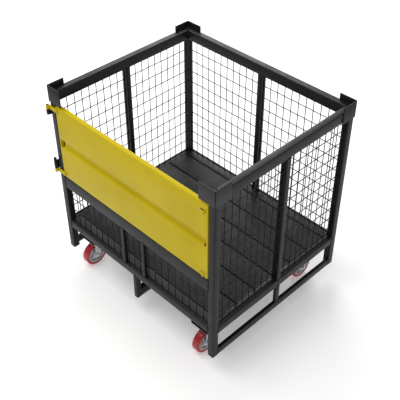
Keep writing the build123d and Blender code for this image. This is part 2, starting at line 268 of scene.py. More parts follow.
# ---- stacking guides ----
# Each corner has an angle of 5 mm plate folded round the outside of the post and standing 32 mm above it,
# so that the feet of the next cage drop between the four angles.
PLATE = 5 * MM
for end, sy in (("front", -1), ("rear", 1)):
    for side, sx in (("left", -1), ("right", 1)):
        node = f"stacking_guide_{end}_{side}"
        low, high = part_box(node)
        x = (low.x, low.x + PLATE) if sx < 0 else (high.x - PLATE, high.x)
        y = (low.y, low.y + PLATE) if sy < 0 else (high.y - PLATE, high.y)
        guide = start_block("angle_" + node, (x[0], y[0], low.z), (x[1], y[1], high.z))
        leg = high.x - low.x - PLATE
        for way in (Vector((-sx, 0, 0)), Vector((0, -sy, 0))):
            pick("FACE", lambda centre, out: out.dot(way) > 0.9 and abs(centre.dot(way)) > 0.3
                 and (centre - Vector((sum(x) / 2, sum(y) / 2, 0))).to_2d().length < PLATE)
            bpy.ops.mesh.extrude_region_move(TRANSFORM_OT_translate={"value": way * leg})
        corner = Vector((x[sx > 0], y[sy > 0]))
        pick("EDGE", lambda centre, line: abs(line.z) > 0.9 and (centre.to_2d() - corner).length < 0.001)
        bpy.ops.mesh.bevel(offset=6 * MM, segments=4, affect="EDGES")
        pick("EDGE", lambda centre, line: abs(line.z) < 0.1 or (centre.to_2d() - corner).length > 0.09)
        bpy.ops.mesh.bevel(offset=0.8 * MM, segments=2, affect="EDGES")
        close_piece(guide, charcoal)
        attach(guide, "frame")
        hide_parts(node)


# ---- deck bearers and castor pads ----
# Under the deck four 40 x 25 tubes run front to rear, and a short box section under each end of the outer
# two spreads the load of a castor. Both are ordinary box section in the cage's own coat.
low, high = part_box("deck_bearers")
bearer = 40 * MM
inner = 155 * MM
outer = high.x - bearer / 2
bearers = [box_tube("bearer", (x - bearer / 2, low.y, low.z), (x + bearer / 2, high.y, high.z), "y",
                    TUBE_WALL, 3 * MM) for x in (-outer, -inner, inner, outer)]
bearers = gather("tube_deck_bearers", bearers)
low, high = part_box("castor_pads")
pad_x, pad_y = 120 * MM, 140 * MM
pads = []
for a in (low.x, high.x - pad_x):
    for b in (low.y, high.y - pad_y):
        pads.append(box_tube("pad", (a, b, low.z), (a + pad_x, b + pad_y, high.z), "y", 4 * MM, 6 * MM))
pads = gather("box_castor_pads", pads)
for piece, node in ((bearers, "deck_bearers"), (pads, "castor_pads")):
    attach(piece, "frame")
    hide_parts(node)


# ---- welded mesh ----
# The infill is resistance-welded mesh of 4 mm wire on a 50 x 75 pitch, drawn thicker to show from afar: the
# uprights lie inside the level wires and sink into them at each crossing. It is cut to each bay.
WIRE = 2.4 * MM  # drawn radius; the wire's own is 2 mm
PITCH_ACROSS, PITCH_UP = 50 * MM, 75 * MM

# The same coat runs thinner and glossier on wire, and the welds at the crossings leave it slightly lumpy.
coated_wire = new_material("powder_coated_wire_charcoal")
place = add_node(coated_wire, "ShaderNodeTexCoord").outputs["Object"]
runs = add_node(coated_wire, "ShaderNodeTexNoise", {"Vector": place, "Scale": 60.0, "Detail": 4.0})
shade = add_node(coated_wire, "ShaderNodeMix", {
    0: runs.outputs["Fac"], 6: linear("#0a0a0b"), 7: linear("#131314")}, data_type="RGBA")
gloss = add_node(coated_wire, "ShaderNodeMapRange", {
    0: runs.outputs["Fac"], 1: 0.3, 2: 0.7, 3: 0.32, 4: 0.46})
bump = add_node(coated_wire, "ShaderNodeBump", {
    "Height": runs.outputs["Fac"], "Strength": 0.3, "Distance": 0.0005})
coat = add_node(coated_wire, "ShaderNodeBsdfPrincipled", {
    "Base Color": shade.outputs[2], "Roughness": gloss.outputs[0], "Normal": bump.outputs[0], "IOR": 1.5,
    "Specular IOR Level": 0.22})
add_node(coated_wire, "ShaderNodeOutputMaterial", {"Surface": coat.outputs[0]})


def wire_row(start, end, step, count):
    """One straight wire and its copies, an even step apart."""
    wire = rod("wire", start, end, WIRE, sides=10)
    row = wire.modifiers.new("row", "ARRAY")
    row.count, row.use_relative_offset, row.use_constant_offset = count, False, True
    row.constant_offset_displace = step
    bpy.ops.object.modifier_apply(modifier="row")
    return wire


def mesh_bay(across, span, plane, heights, inside):
    """The wires of one bay: span along an axis, plane across it, uprights set towards the inside."""
    other = AXES["y"] if across == AXES["x"] else AXES["x"]
    wide, tall = span[1] - span[0], heights[1] - heights[0]
    columns, rows = round(wide / PITCH_ACROSS), round(tall / PITCH_UP)
    base = across * (span[0] + WIRE) + other * (plane + inside * 0.9 * WIRE)
    uprights = wire_row(base + AXES["z"] * (heights[0] - MM), base + AXES["z"] * (heights[1] + MM),
                        across * (wide - 2 * WIRE) / columns, columns + 1)
    base = other * (plane - inside * 0.9 * WIRE) + AXES["z"] * (heights[0] + WIRE)
    levels = wire_row(base + across * (span[0] - MM), base + across * (span[1] + MM),
                      AXES["z"] * (tall - 2 * WIRE) / rows, rows + 1)
    return [uprights, levels]


posts_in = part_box("top_rail_rear")[1].x
rails_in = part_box("top_rail_left")[1].y
stile_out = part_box("front_stiles")[1].x
side_bays = ((-rails_in, -half_mid), (half_mid, rails_in))
rear_bays = ((-posts_in, -half_mid), (half_mid, posts_in))
stile_in = stile_out - STILE
front_bays = ((-posts_in, -stile_out), (-stile_in, stile_in), (stile_out, posts_in))
panels = (("mesh_left", "y", side_bays, 1), ("mesh_right", "y", side_bays, -1),
          ("mesh_rear", "x", rear_bays, -1), ("mesh_front", "x", front_bays, 1))
for node, along, bays, inside in panels:
    low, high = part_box(node)
    across = AXES[along]
    middle = (low + high) / 2
    plane = middle.x if along == "y" else middle.y
    wires = []
    for span in bays:
        wires += mesh_bay(across, span, plane, (low.z, high.z), inside)
    panel = gather("wires_" + node, wires)
    close_piece(panel, coated_wire)
    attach(panel, "frame")
    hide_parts(node)


# ---- welds ----
# Tube meets tube with a small fillet run by hand, a row of overlapping puddles about 4 mm apart. The coat
# goes over them, so only their ripple shows.
PUDDLE = 4 * MM
BEAD = 2.6 * MM
beads = []


def weld(start, end):
    """A run of weld between two points."""
    start, end = Vector(start), Vector(end)
    run = end - start
    count = max(2, round(run.length / PUDDLE))
    bpy.ops.object.select_all(action="DESELECT")
    bpy.ops.mesh.primitive_cone_add(vertices=8, radius1=BEAD, radius2=BEAD * 0.72, depth=run.length / count,
                                    location=start + run / count / 2,
                                    rotation=run.to_track_quat("Z", "Y").to_euler())
    bead = bpy.context.object
    row = bead.modifiers.new("row", "ARRAY")
    row.count, row.use_relative_offset, row.use_constant_offset = count, False, True
    row.constant_offset_displace = (0, 0, run.length / count)
    bpy.ops.object.modifier_apply(modifier="row")
    bpy.ops.object.transform_apply(location=True, rotation=True, scale=True)
    beads.append(bead)


def weld_round(low, high, along, where):
    """Welds a tube's cut end all round to what it butts against."""
    keep = "xyz".index(along)
    u, v = [i for i in range(3) if i != keep]
    corners = []
    for a, b in ((low[u], low[v]), (high[u], low[v]), (high[u], high[v]), (low[u], high[v])):
        point = [0, 0, 0]
        point[keep], point[u], point[v] = where, a, b
        corners.append(Vector(point))
    for i in range(4):
        a, b = corners[i], corners[(i + 1) % 4]
        way = (b - a).normalized() * TUBE_CORNER
        weld(a + way, b - way)


for node in ("top_rail_left", "top_rail_right", "top_rail_rear", "front_mid_rail",
             "runner_left", "runner_right", "deck_rail_left", "deck_rail_right",
             "deck_rail_front", "deck_rail_rear", "mid_post_left", "mid_post_right", "mid_post_rear"):
    low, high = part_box(node)
    along = rails[node]
    for where in (low["xyz".index(along)], high["xyz".index(along)]):
        weld_round(low, high, along, where)
low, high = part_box("front_stiles")
for a in (low.x, high.x - STILE):
    for where in (low.z, high.z):
        weld_round((a, low.y, low.z), (a + STILE, high.y, high.z), "z", where)
low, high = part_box("runner_struts")
for y in (low.y, high.y - MID_TUBE):
    weld_round((-half_mid, y, low.z), (half_mid, y + MID_TUBE, high.z), "z", high.z)
for a in (low.x, high.x - runner_wide):
    for where in (run_high.z, high.z):
        weld_round((a, -half_mid, low.z), (a + runner_wide, half_mid, high.z), "z", where)
for end, sy in (("front", -1), ("rear", 1)):
    for side, sx in (("left", -1), ("right", 1)):
        low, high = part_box(f"stacking_guide_{end}_{side}")
        post_low, post_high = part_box(f"post_{end}_{side}")
        edge_x = low.x if sx > 0 else high.x
        edge_y = low.y if sy > 0 else high.y
        out_x = post_high.x if sx > 0 else post_low.x
        out_y = post_high.y if sy > 0 else post_low.y
        weld((out_x, out_y - sy * 0.01, low.z), (out_x, edge_y, low.z))
        weld((out_x - sx * 0.01, out_y, low.z),
             (edge_x if end == "rear" else out_x - sx * 0.038, out_y, low.z))
welds = gather("weld_beads", beads)
close_piece(welds, charcoal, angle=50)
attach(welds, "frame")


# ---- deck planks ----
# Six trays of 3 mm sheet, folded down 25 mm along both long edges, lie side by side across the bearers with
# a 5 mm slot between them. Their coat is scraped grey by the loads that slide over it.
SHEET = 3 * MM
PLANKS = 6
PLANK_SLOT = 5 * MM

# Powder coat worn by sliding goods: long faint scratches across the deck and rubbed patches a hand wide.
scuffed = new_material("powder_coated_deck_scuffed")
place = add_node(scuffed, "ShaderNodeTexCoord").outputs["Object"]
patch = add_node(scuffed, "ShaderNodeTexNoise", {
    "Vector": place, "Scale": 6.0, "Detail": 8.0, "Roughness": 0.7})
stretch = add_node(scuffed, "ShaderNodeMapping", {
    "Vector": place, "Rotation": (0, 0, 0.35), "Scale": (3, 120, 40)})
scratch = add_node(scuffed, "ShaderNodeTexNoise", {"Vector": stretch.outputs[0], "Scale": 2.0, "Detail": 5.0,
                                                   "Roughness": 0.6})
line = add_node(scuffed, "ShaderNodeMapRange", {0: scratch.outputs["Fac"], 1: 0.6, 2: 0.72})
rubbed = add_node(scuffed, "ShaderNodeMapRange", {0: patch.outputs["Fac"], 1: 0.4, 2: 0.7})
worn = add_node(scuffed, "ShaderNodeMath", {0: line.outputs[0], 1: rubbed.outputs[0]}, operation="MULTIPLY")
shade = add_node(scuffed, "ShaderNodeMix", {0: rubbed.outputs[0], 6: linear("#18181a"), 7: linear("#232325")},
                 data_type="RGBA")
shade = add_node(scuffed, "ShaderNodeMix", {0: worn.outputs[0], 6: shade.outputs[2], 7: linear("#3c3c3e")},
                 data_type="RGBA")
gloss = add_node(scuffed, "ShaderNodeMapRange", {0: patch.outputs["Fac"], 1: 0.3, 2: 0.7, 3: 0.58, 4: 0.42})
peel = add_node(scuffed, "ShaderNodeTexNoise", {"Vector": place, "Scale": 480.0, "Detail": 1.0})
bump = add_node(scuffed, "ShaderNodeBump", {
    "Height": peel.outputs["Fac"], "Strength": 0.12, "Distance": 0.0004})
coat = add_node(scuffed, "ShaderNodeBsdfPrincipled", {
    "Base Color": shade.outputs[2], "Roughness": gloss.outputs[0], "Normal": bump.outputs[0], "IOR": 1.5,
    "Specular IOR Level": 0.2})
add_node(scuffed, "ShaderNodeOutputMaterial", {"Surface": coat.outputs[0]})


def thicken(piece, thickness):
    """Gives an open sheet its wall, on the inside of what was drawn."""
    bpy.ops.object.mode_set(mode="OBJECT")
    wall = piece.modifiers.new("wall", "SOLIDIFY")
    wall.thickness, wall.offset, wall.use_even_offset = thickness, -1, True
    bpy.ops.object.modifier_apply(modifier="wall")


low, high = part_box("deck_planks")
pitch = (high.y - low.y + PLANK_SLOT) / PLANKS
planks = []
for i in range(PLANKS):
    start = low.y + i * pitch
    plank = start_block("plank", (low.x, start, low.z), (high.x, start + pitch - PLANK_SLOT, high.z))
    pick("FACE", lambda centre, out: out.z < -0.9 or abs(out.x) > 0.9)
    bpy.ops.mesh.delete(type="FACE")
    pick("EDGE", lambda centre, line: abs(line.x) > 0.9 and centre.z > high.z - MM)
    bpy.ops.mesh.bevel(offset=5 * MM, segments=4, affect="EDGES")
    thicken(plank, SHEET)
    planks.append(plank)
deck = gather("folded_deck_planks", planks)
close_piece(deck, scuffed)
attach(deck, "frame")
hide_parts("deck_planks")


# ---- gate ----
# The half-height gate is one sheet of 2 mm steel, coated a clear industrial yellow: its four edges are folded
# back 25 mm and it is open behind. A groove pressed along its middle stiffens it, and at each end of the
# groove the press has left a mouth beside a flat margin.
GATE_SHEET = 2 * MM
FOLD = 3.5 * MM
GROOVE_LOW, GROOVE_HIGH = 205 * MM, 256 * MM
MARGIN, MOUTH = 10 * MM, 17 * MM
GROOVE_DEPTH, GROOVE_SLOPE = 14 * MM, 8 * MM
KNOB_INSET, KNOB_TRAVEL = 18 * MM, 26 * MM

# Yellow polyester powder coat: smoother than the cage's, with soft shine, faint orange peel, thin sooty
# streaks where it has been leaned on and a slightly browner tone at random.
yellow = new_material("powder_coated_steel_yellow")
place = add_node(yellow, "ShaderNodeTexCoord").outputs["Object"]
cloud = add_node(yellow, "ShaderNodeTexNoise", {
    "Vector": place, "Scale": 5.0, "Detail": 7.0, "Roughness": 0.6})
tone = add_node(yellow, "ShaderNodeMapRange", {0: cloud.outputs["Fac"], 1: 0.35, 2: 0.7})
shade = add_node(yellow, "ShaderNodeMix", {0: tone.outputs[0], 6: linear("#ccb500"), 7: linear("#c2ab00")},
                 data_type="RGBA")
stretch = add_node(yellow, "ShaderNodeMapping", {
    "Vector": place, "Rotation": (0, 0.5, 0), "Scale": (6, 1, 160)})
scrape = add_node(yellow, "ShaderNodeTexNoise", {"Vector": stretch.outputs[0], "Scale": 1.5, "Detail": 4.0})
faint = add_node(yellow, "ShaderNodeMapRange", {0: scrape.outputs["Fac"], 1: 0.66, 2: 0.8, 3: 0.0, 4: 0.5})
shade = add_node(yellow, "ShaderNodeMix", {0: faint.outputs[0], 6: shade.outputs[2], 7: linear("#8f7c12")},
                 data_type="RGBA")
gloss = add_node(yellow, "ShaderNodeMapRange", {0: cloud.outputs["Fac"], 1: 0.3, 2: 0.7, 3: 0.3, 4: 0.42})
peel = add_node(yellow, "ShaderNodeTexNoise", {"Vector": place, "Scale": 420.0, "Detail": 1.0})
bump = add_node(yellow, "ShaderNodeBump", {
    "Height": peel.outputs["Fac"], "Strength": 0.08, "Distance": 0.0004})
coat = add_node(yellow, "ShaderNodeBsdfPrincipled", {
    "Base Color": shade.outputs[2], "Roughness": gloss.outputs[0], "Normal": bump.outputs[0], "IOR": 1.5,
    "Specular IOR Level": 0.1})
add_node(yellow, "ShaderNodeOutputMaterial", {"Surface": coat.outputs[0]})

low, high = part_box("gate_panel")
gate = start_block("folded_gate_panel", low, high)
for height in (GROOVE_LOW, GROOVE_LOW + GROOVE_SLOPE, GROOVE_HIGH - GROOVE_SLOPE, GROOVE_HIGH):
    bpy.ops.mesh.select_all(action="SELECT")
    bpy.ops.mesh.bisect(plane_co=(0, 0, low.z + height), plane_no=(0, 0, 1))
groove_x, bed_x = high.x - MARGIN, high.x - MARGIN - MOUTH
for x in (-groove_x, -bed_x, bed_x, groove_x):
    bpy.ops.mesh.select_all(action="SELECT")
    bpy.ops.mesh.bisect(plane_co=(x, 0, 0), plane_no=(1, 0, 0))
pick("FACE", lambda centre, out: out.y < -0.9 and bed_x < abs(centre.x) < groove_x
     and GROOVE_LOW < centre.z - low.z < GROOVE_HIGH)
bpy.ops.mesh.delete(type="FACE")
bed_low, bed_high = low.z + GROOVE_LOW + GROOVE_SLOPE, low.z + GROOVE_HIGH - GROOVE_SLOPE
pick("FACE", lambda centre, out: out.y < -0.9 and bed_low < centre.z < bed_high and abs(centre.x) < bed_x)
bpy.ops.transform.translate(value=(0, GROOVE_DEPTH, 0))
pick("FACE", lambda centre, out: out.y > 0.9 and centre.y > high.y - MM)
bpy.ops.mesh.delete(type="FACE")
pick("EDGE", lambda centre, line: centre.y < high.y - MM and (
    (abs(line.x) > 0.9 and (abs(centre.x) < bed_x or not low.z + MM < centre.z < high.z - MM))
    or (abs(centre.x) > high.x - MM and (abs(line.y) < 0.9 or not low.z + MM < centre.z < high.z - MM))))
bpy.ops.mesh.bevel(offset=FOLD, segments=3, affect="EDGES")
thicken(gate, GATE_SHEET)
knob_x = high.x - KNOB_INSET
for height, latch_y in latch_axes:
    slot_low, slot_high = knob_x - KNOB_TRAVEL - 5.5 * MM, knob_x + 5.5 * MM
    slot = start_block("slot", (slot_low, low.y - 0.01, height - 5.5 * MM),
                       (slot_high, low.y + 0.01, height + 5.5 * MM))
    pick("EDGE", lambda centre, line: abs(line.y) > 0.9)
    bpy.ops.mesh.bevel(offset=5 * MM, segments=5, affect="EDGES")
    bpy.ops.object.mode_set(mode="OBJECT")
    cut(gate, slot)
    cut(gate, rod("hole", (high.x - 0.01, latch_y, height), (high.x + 0.01, latch_y, height), 5.3 * MM))
close_piece(gate, yellow, angle=35)
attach(gate, "gate")
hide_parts("gate_panel")


# ---- hinges ----
# Two straps of 6 mm flat are rolled round 10 mm pins and riveted to the gate's edge. The upper strap rests on
# its barrel and the lower one hangs under its own, so the gate can't be lifted off. A ball caps the lower
# pin, and the barrels' arms are welded to the outer side of the post.
HINGE_PIN, HINGE_BARREL = 5 * MM, 9 * MM
STRAP_THICK, STRAP_HALF = 6 * MM, 12 * MM
ARM_THICK, ARM_LENGTH = 6 * MM, 42 * MM

# Bright zinc plate with a clear passivate: pale, slightly blue, brushed dull by handling and faintly mottled.
zinc = new_material("zinc_plated_steel")
place = add_node(zinc, "ShaderNodeTexCoord").outputs["Object"]
bloom = add_node(zinc, "ShaderNodeTexNoise", {
    "Vector": place, "Scale": 90.0, "Detail": 5.0, "Roughness": 0.6})
shade = add_node(zinc, "ShaderNodeMix", {0: bloom.outputs["Fac"], 6: linear("#b4b7bb"), 7: linear("#d8dadc")},
                 data_type="RGBA")
gloss = add_node(zinc, "ShaderNodeMapRange", {0: bloom.outputs["Fac"], 1: 0.3, 2: 0.7, 3: 0.28, 4: 0.44})
bump = add_node(zinc, "ShaderNodeBump", {
    "Height": bloom.outputs["Fac"], "Strength": 0.08, "Distance": 0.0003})
plate = add_node(zinc, "ShaderNodeBsdfPrincipled", {
    "Base Color": shade.outputs[2], "Roughness": gloss.outputs[0], "Normal": bump.outputs[0],
    "Metallic": 1.0})
add_node(zinc, "ShaderNodeOutputMaterial", {"Surface": plate.outputs[0]})


def sleeve(name, x, y, z, radius, bore):
    """A short upright barrel bored for a pin, its rims broken."""
    piece = rod(name, (x, y, z[0]), (x, y, z[1]), radius, sides=32)
    bpy.ops.object.mode_set(mode="EDIT")
    pick("FACE", lambda centre, out: abs(out.z) > 0.9)
    bpy.ops.mesh.inset(thickness=radius - bore)
    bpy.ops.mesh.bridge_edge_loops()
    pick("EDGE", lambda centre, line: abs(line.z) < 0.5
         and (centre.to_2d() - Vector((x, y))).length > bore * 1.2)
    bpy.ops.mesh.bevel(offset=0.8 * MM, segments=2, affect="EDGES")
    return close_piece(piece, charcoal)


def dome(name, centre, way, radius, height):
    """A rounded bolt head lying on a face that looks along way."""
    bpy.ops.object.select_all(action="DESELECT")
    way = Vector(way)
    bpy.ops.mesh.primitive_uv_sphere_add(segments=24, ring_count=12, radius=radius, location=centre,
                                         rotation=way.to_track_quat("Z", "Y").to_euler())
    piece = bpy.context.object
    piece.name = piece.data.name = name
    piece.scale = (1, 1, height / radius)
    bpy.ops.object.transform_apply(location=True, rotation=True, scale=True)
    bpy.ops.object.mode_set(mode="EDIT")
    bpy.ops.mesh.select_all(action="SELECT")
    bpy.ops.mesh.bisect(plane_co=centre, plane_no=way, clear_inner=True, use_fill=True)
    return close_piece(piece, yellow)


straps_low, straps_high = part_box("gate_straps")
pins_low, pins_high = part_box("hinge_pins")
bracket_low, bracket_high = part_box("hinge_brackets")
hinge_x, hinge_y = straps_low.x + HINGE_BARREL, straps_low.y + HINGE_BARREL
gate_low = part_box("gate_panel")[0]
parts = []
for height in (straps_low.z + STRAP_HALF, straps_high.z - STRAP_HALF):
    bar = start_block("strap", (hinge_x + 3 * MM, gate_low.y - STRAP_THICK, height - STRAP_HALF),
                      (straps_high.x, gate_low.y, height + STRAP_HALF))
    pick("EDGE", lambda centre, line: abs(line.y) > 0.9 and centre.x > straps_high.x - MM)
    bpy.ops.mesh.bevel(offset=5 * MM, segments=5, affect="EDGES")
    pick("EDGE", lambda centre, line: centre.y < gate_low.y - STRAP_THICK + 0.1 * MM
         and centre.x > hinge_x + 8 * MM)
    bpy.ops.mesh.bevel(offset=0.8 * MM, segments=2, affect="EDGES")
    parts.append(close_piece(bar, yellow))
    eye = sleeve("eye", hinge_x, hinge_y, (height - STRAP_HALF, height + STRAP_HALF), HINGE_BARREL,
                 HINGE_PIN + 0.08 * MM)
    parts.append(close_piece(eye, yellow))
    parts.append(dome("rivet", (gate_low.x + 9 * MM, gate_low.y - STRAP_THICK, height), (0, -1, 0),
                      5 * MM, 2.6 * MM))
straps = gather("rolled_gate_straps", parts)
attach(straps, "gate")
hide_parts("gate_straps")

parts, pins = [], []
for barrel, ends in (((bracket_low.z, bracket_low.z + 56 * MM), (pins_low.z, bracket_low.z + 58 * MM)),
                     ((bracket_high.z - 33 * MM, bracket_high.z), (bracket_high.z - 33 * MM, pins_high.z))):
    arm = start_block("arm", (bracket_high.x - ARM_THICK, hinge_y + 5 * MM, barrel[0]),
                      (bracket_high.x, hinge_y + ARM_LENGTH, barrel[1]))
    pick("EDGE", lambda centre, line: abs(line.x) > 0.9 and centre.y > hinge_y + 20 * MM)
    bpy.ops.mesh.bevel(offset=6 * MM, segments=4, affect="EDGES")
    pick("EDGE", lambda centre, line: centre.x < bracket_high.x - ARM_THICK + 0.1 * MM)
    bpy.ops.mesh.bevel(offset=0.7 * MM, segments=2, affect="EDGES")
    parts.append(close_piece(arm, charcoal))
    parts.append(sleeve("barrel", hinge_x, hinge_y, barrel, HINGE_BARREL, HINGE_PIN))
    shank = rod("pin", (hinge_x, hinge_y, ends[0]), (hinge_x, hinge_y, ends[1]), HINGE_PIN - 0.05 * MM,
                chamfer=0.8 * MM)
    pins.append(close_piece(shank, charcoal))
ball, top = 8.5 * MM, bracket_low.z + 56 * MM
bpy.ops.object.select_all(action="DESELECT")
bpy.ops.mesh.primitive_uv_sphere_add(segments=32, ring_count=16, radius=ball,
                                     location=(hinge_x, hinge_y, top + ball - MM))
knob = bpy.context.object
bpy.ops.object.transform_apply(location=True, rotation=True, scale=True)
bpy.ops.object.mode_set(mode="EDIT")
bpy.ops.mesh.select_all(action="SELECT")
bpy.ops.mesh.bisect(plane_co=(0, 0, top + 0.2 * MM), plane_no=(0, 0, 1), clear_inner=True, use_fill=True)
pins.append(close_piece(knob, charcoal))
brackets = gather("arms_hinge_brackets", parts)
pins = gather("turned_hinge_pins", pins)
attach(brackets, "frame")
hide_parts("hinge_brackets")
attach(pins, "frame")
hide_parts("hinge_pins")


# ---- latches ----
# A 10 mm bolt slides in a bored block behind the gate's face and shoots into the post. Its stem comes out
# through a slot in the face and carries a turned ball that a finger pulls back.
BOLT, STEM, KNOB = 5 * MM, 4 * MM, 7 * MM
guides_low, guides_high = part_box("latch_guides")
for (height, latch_y), name in zip(latch_axes, ("upper", "lower")):
    node = "latch_bolt_" + name
    low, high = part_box(node)
    shaft = rod("shaft", (low.x, latch_y, height), (high.x, latch_y, height), BOLT, chamfer=1.2 * MM)
    shaft = close_piece(shaft, yellow)
    stem = close_piece(rod("stem", (knob_x, latch_y, height), (knob_x, low.y + KNOB, height), STEM), yellow)
    bpy.ops.object.select_all(action="DESELECT")
    bpy.ops.mesh.primitive_uv_sphere_add(segments=32, ring_count=16, radius=KNOB,
                                         location=(knob_x, low.y + KNOB, height),
                                         rotation=(math.pi / 2, 0, 0))
    knob = bpy.context.object
    bpy.ops.object.transform_apply(location=True, rotation=True, scale=True)
    bpy.ops.object.mode_set(mode="EDIT")
    pick("FACE", lambda centre, out: out.y < -0.93)
    bpy.ops.mesh.inset(thickness=0.3 * MM)
    knob = close_piece(knob, yellow, angle=60)
    latch = gather("turned_" + node, [shaft, stem, knob])
    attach(latch, "latch_" + name)
    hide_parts(node)
blocks = []
for height, latch_y in latch_axes:
    size = guides_high.y - guides_low.y
    block = start_block("block", (guides_low.x, guides_low.y, height - size / 2),
                        (guides_high.x, guides_high.y, height + size / 2))
    pick("EDGE", lambda centre, line: True)
    bpy.ops.mesh.bevel(offset=1.5 * MM, segments=2, affect="EDGES")
    bpy.ops.object.mode_set(mode="OBJECT")
    cut(block, rod("hole", (guides_low.x - 0.01, latch_y, height), (guides_high.x + 0.01, latch_y, height),
                   BOLT + 0.08 * MM))
    blocks.append(close_piece(block, yellow))
blocks = gather("bored_latch_guides", blocks)
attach(blocks, "gate")
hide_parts("latch_guides")


# ---- castors ----
# Four heavy swivel castors: a top plate with a pressed ball race, a welded fork turning on a king bolt, and
# a 150 mm cast wheel with a red polyurethane tread running on an axle bolt. Plates and forks are zinc plated.
WHEEL, TREAD, TRAIL, TYRE_WIDE = 75 * MM, 16 * MM, 30 * MM, 45 * MM
PIVOT = {"front_left": (-1, -1), "front_right": (1, -1), "rear_left": (-1, 1), "rear_right": (1, 1)}

# Cast polyurethane, solid red: a tight smooth skin with a soft gloss, dulled in patches by the floor.
tread_red = new_material("cast_polyurethane_red")
place = add_node(tread_red, "ShaderNodeTexCoord").outputs["Object"]
rub = add_node(tread_red, "ShaderNodeTexNoise", {
    "Vector": place, "Scale": 35.0, "Detail": 6.0, "Roughness": 0.65})
shade = add_node(tread_red, "ShaderNodeMix", {
    0: rub.outputs["Fac"], 6: linear("#b51a24"), 7: linear("#a0131c")}, data_type="RGBA")
gloss = add_node(tread_red, "ShaderNodeMapRange", {0: rub.outputs["Fac"], 1: 0.35, 2: 0.7, 3: 0.16, 4: 0.34})
bump = add_node(tread_red, "ShaderNodeBump", {
    "Height": rub.outputs["Fac"], "Strength": 0.05, "Distance": 0.0005})
skin = add_node(tread_red, "ShaderNodeBsdfPrincipled", {
    "Base Color": shade.outputs[2], "Roughness": gloss.outputs[0], "Normal": bump.outputs[0], "IOR": 1.5})
add_node(tread_red, "ShaderNodeOutputMaterial", {"Surface": skin.outputs[0]})

# Grey enamel over sand-cast iron: a grain of about 1 mm under the paint.
cast_grey = new_material("enamelled_cast_iron_grey")
place = add_node(cast_grey, "ShaderNodeTexCoord").outputs["Object"]
grain = add_node(cast_grey, "ShaderNodeTexNoise", {"Vector": place, "Scale": 900.0, "Detail": 3.0})
grime = add_node(cast_grey, "ShaderNodeTexNoise", {"Vector": place, "Scale": 45.0, "Detail": 5.0})
shade = add_node(cast_grey, "ShaderNodeMix", {
    0: grime.outputs["Fac"], 6: linear("#dcdddd"), 7: linear("#b9babb")}, data_type="RGBA")
gloss = add_node(cast_grey, "ShaderNodeMapRange", {0: grime.outputs["Fac"], 1: 0.3, 2: 0.7, 3: 0.35, 4: 0.55})
bump = add_node(cast_grey, "ShaderNodeBump", {
    "Height": grain.outputs["Fac"], "Strength": 0.35, "Distance": 0.0005})
enamel = add_node(cast_grey, "ShaderNodeBsdfPrincipled", {
    "Base Color": shade.outputs[2], "Roughness": gloss.outputs[0], "Normal": bump.outputs[0], "IOR": 1.5})
add_node(cast_grey, "ShaderNodeOutputMaterial", {"Surface": enamel.outputs[0]})


def ring_x(name, x, centre, radius, bore, sides=96):
    """A ring lying on its side: a short cylinder along X with a bore."""
    piece = rod(name, (x[0], centre[0], centre[1]), (x[1], centre[0], centre[1]), radius, sides=sides)
    bpy.ops.object.mode_set(mode="EDIT")
    pick("FACE", lambda middle, out: abs(out.x) > 0.9)
    bpy.ops.mesh.inset(thickness=radius - bore)
    bpy.ops.mesh.bridge_edge_loops()
    return piece


def hexagon(name, start, end, across):
    """A hexagon head or nut between two points, its outer corners turned down."""
    piece = rod(name, start, end, across / 2 / math.cos(math.pi / 6), sides=6)
    start, end = Vector(start), Vector(end)
    way = (end - start).normalized()
    bpy.ops.object.mode_set(mode="EDIT")
    pick("EDGE", lambda centre, line: abs(line.dot(way)) < 0.5)
    bpy.ops.mesh.bevel(offset=across * 0.06, segments=2, affect="EDGES")
    return close_piece(piece, zinc, angle=25)


def axle_distance(centre):
    """How far a point is from the wheel's axis, for a castor whose pivot is at the origin."""
    return math.hypot(centre.y + TRAIL, centre.z - WHEEL)


# The tyre is turned about its own axis: rounded shoulders, a fine moulding line and a lip at the rim.
AXIS = (-TRAIL, WHEEL)
half_wide = TYRE_WIDE / 2
tyre = ring_x("tyre", (-half_wide, half_wide), AXIS, WHEEL, WHEEL - TREAD)
pick("EDGE", lambda centre, line: abs(line.x) < 0.5 and axle_distance(centre) > WHEEL - 2 * MM)
bpy.ops.mesh.bevel(offset=8 * MM, segments=6, affect="EDGES")
for x in (-1.2 * MM, 1.2 * MM):
    bpy.ops.mesh.select_all(action="SELECT")
    bpy.ops.mesh.bisect(plane_co=(x, 0, 0), plane_no=(1, 0, 0))
pick("FACE", lambda centre, out: abs(centre.x) < 1.1 * MM and axle_distance(centre) > WHEEL - 3 * MM)
bpy.ops.mesh.inset(thickness=0.5 * MM, depth=-0.5 * MM)
pick("FACE", lambda centre, out: abs(out.x) > 0.95)
bpy.ops.mesh.inset(thickness=2 * MM, depth=0.0)
bpy.ops.mesh.inset(thickness=0.8 * MM, depth=-1.0 * MM)
close_piece(tyre, tread_red)

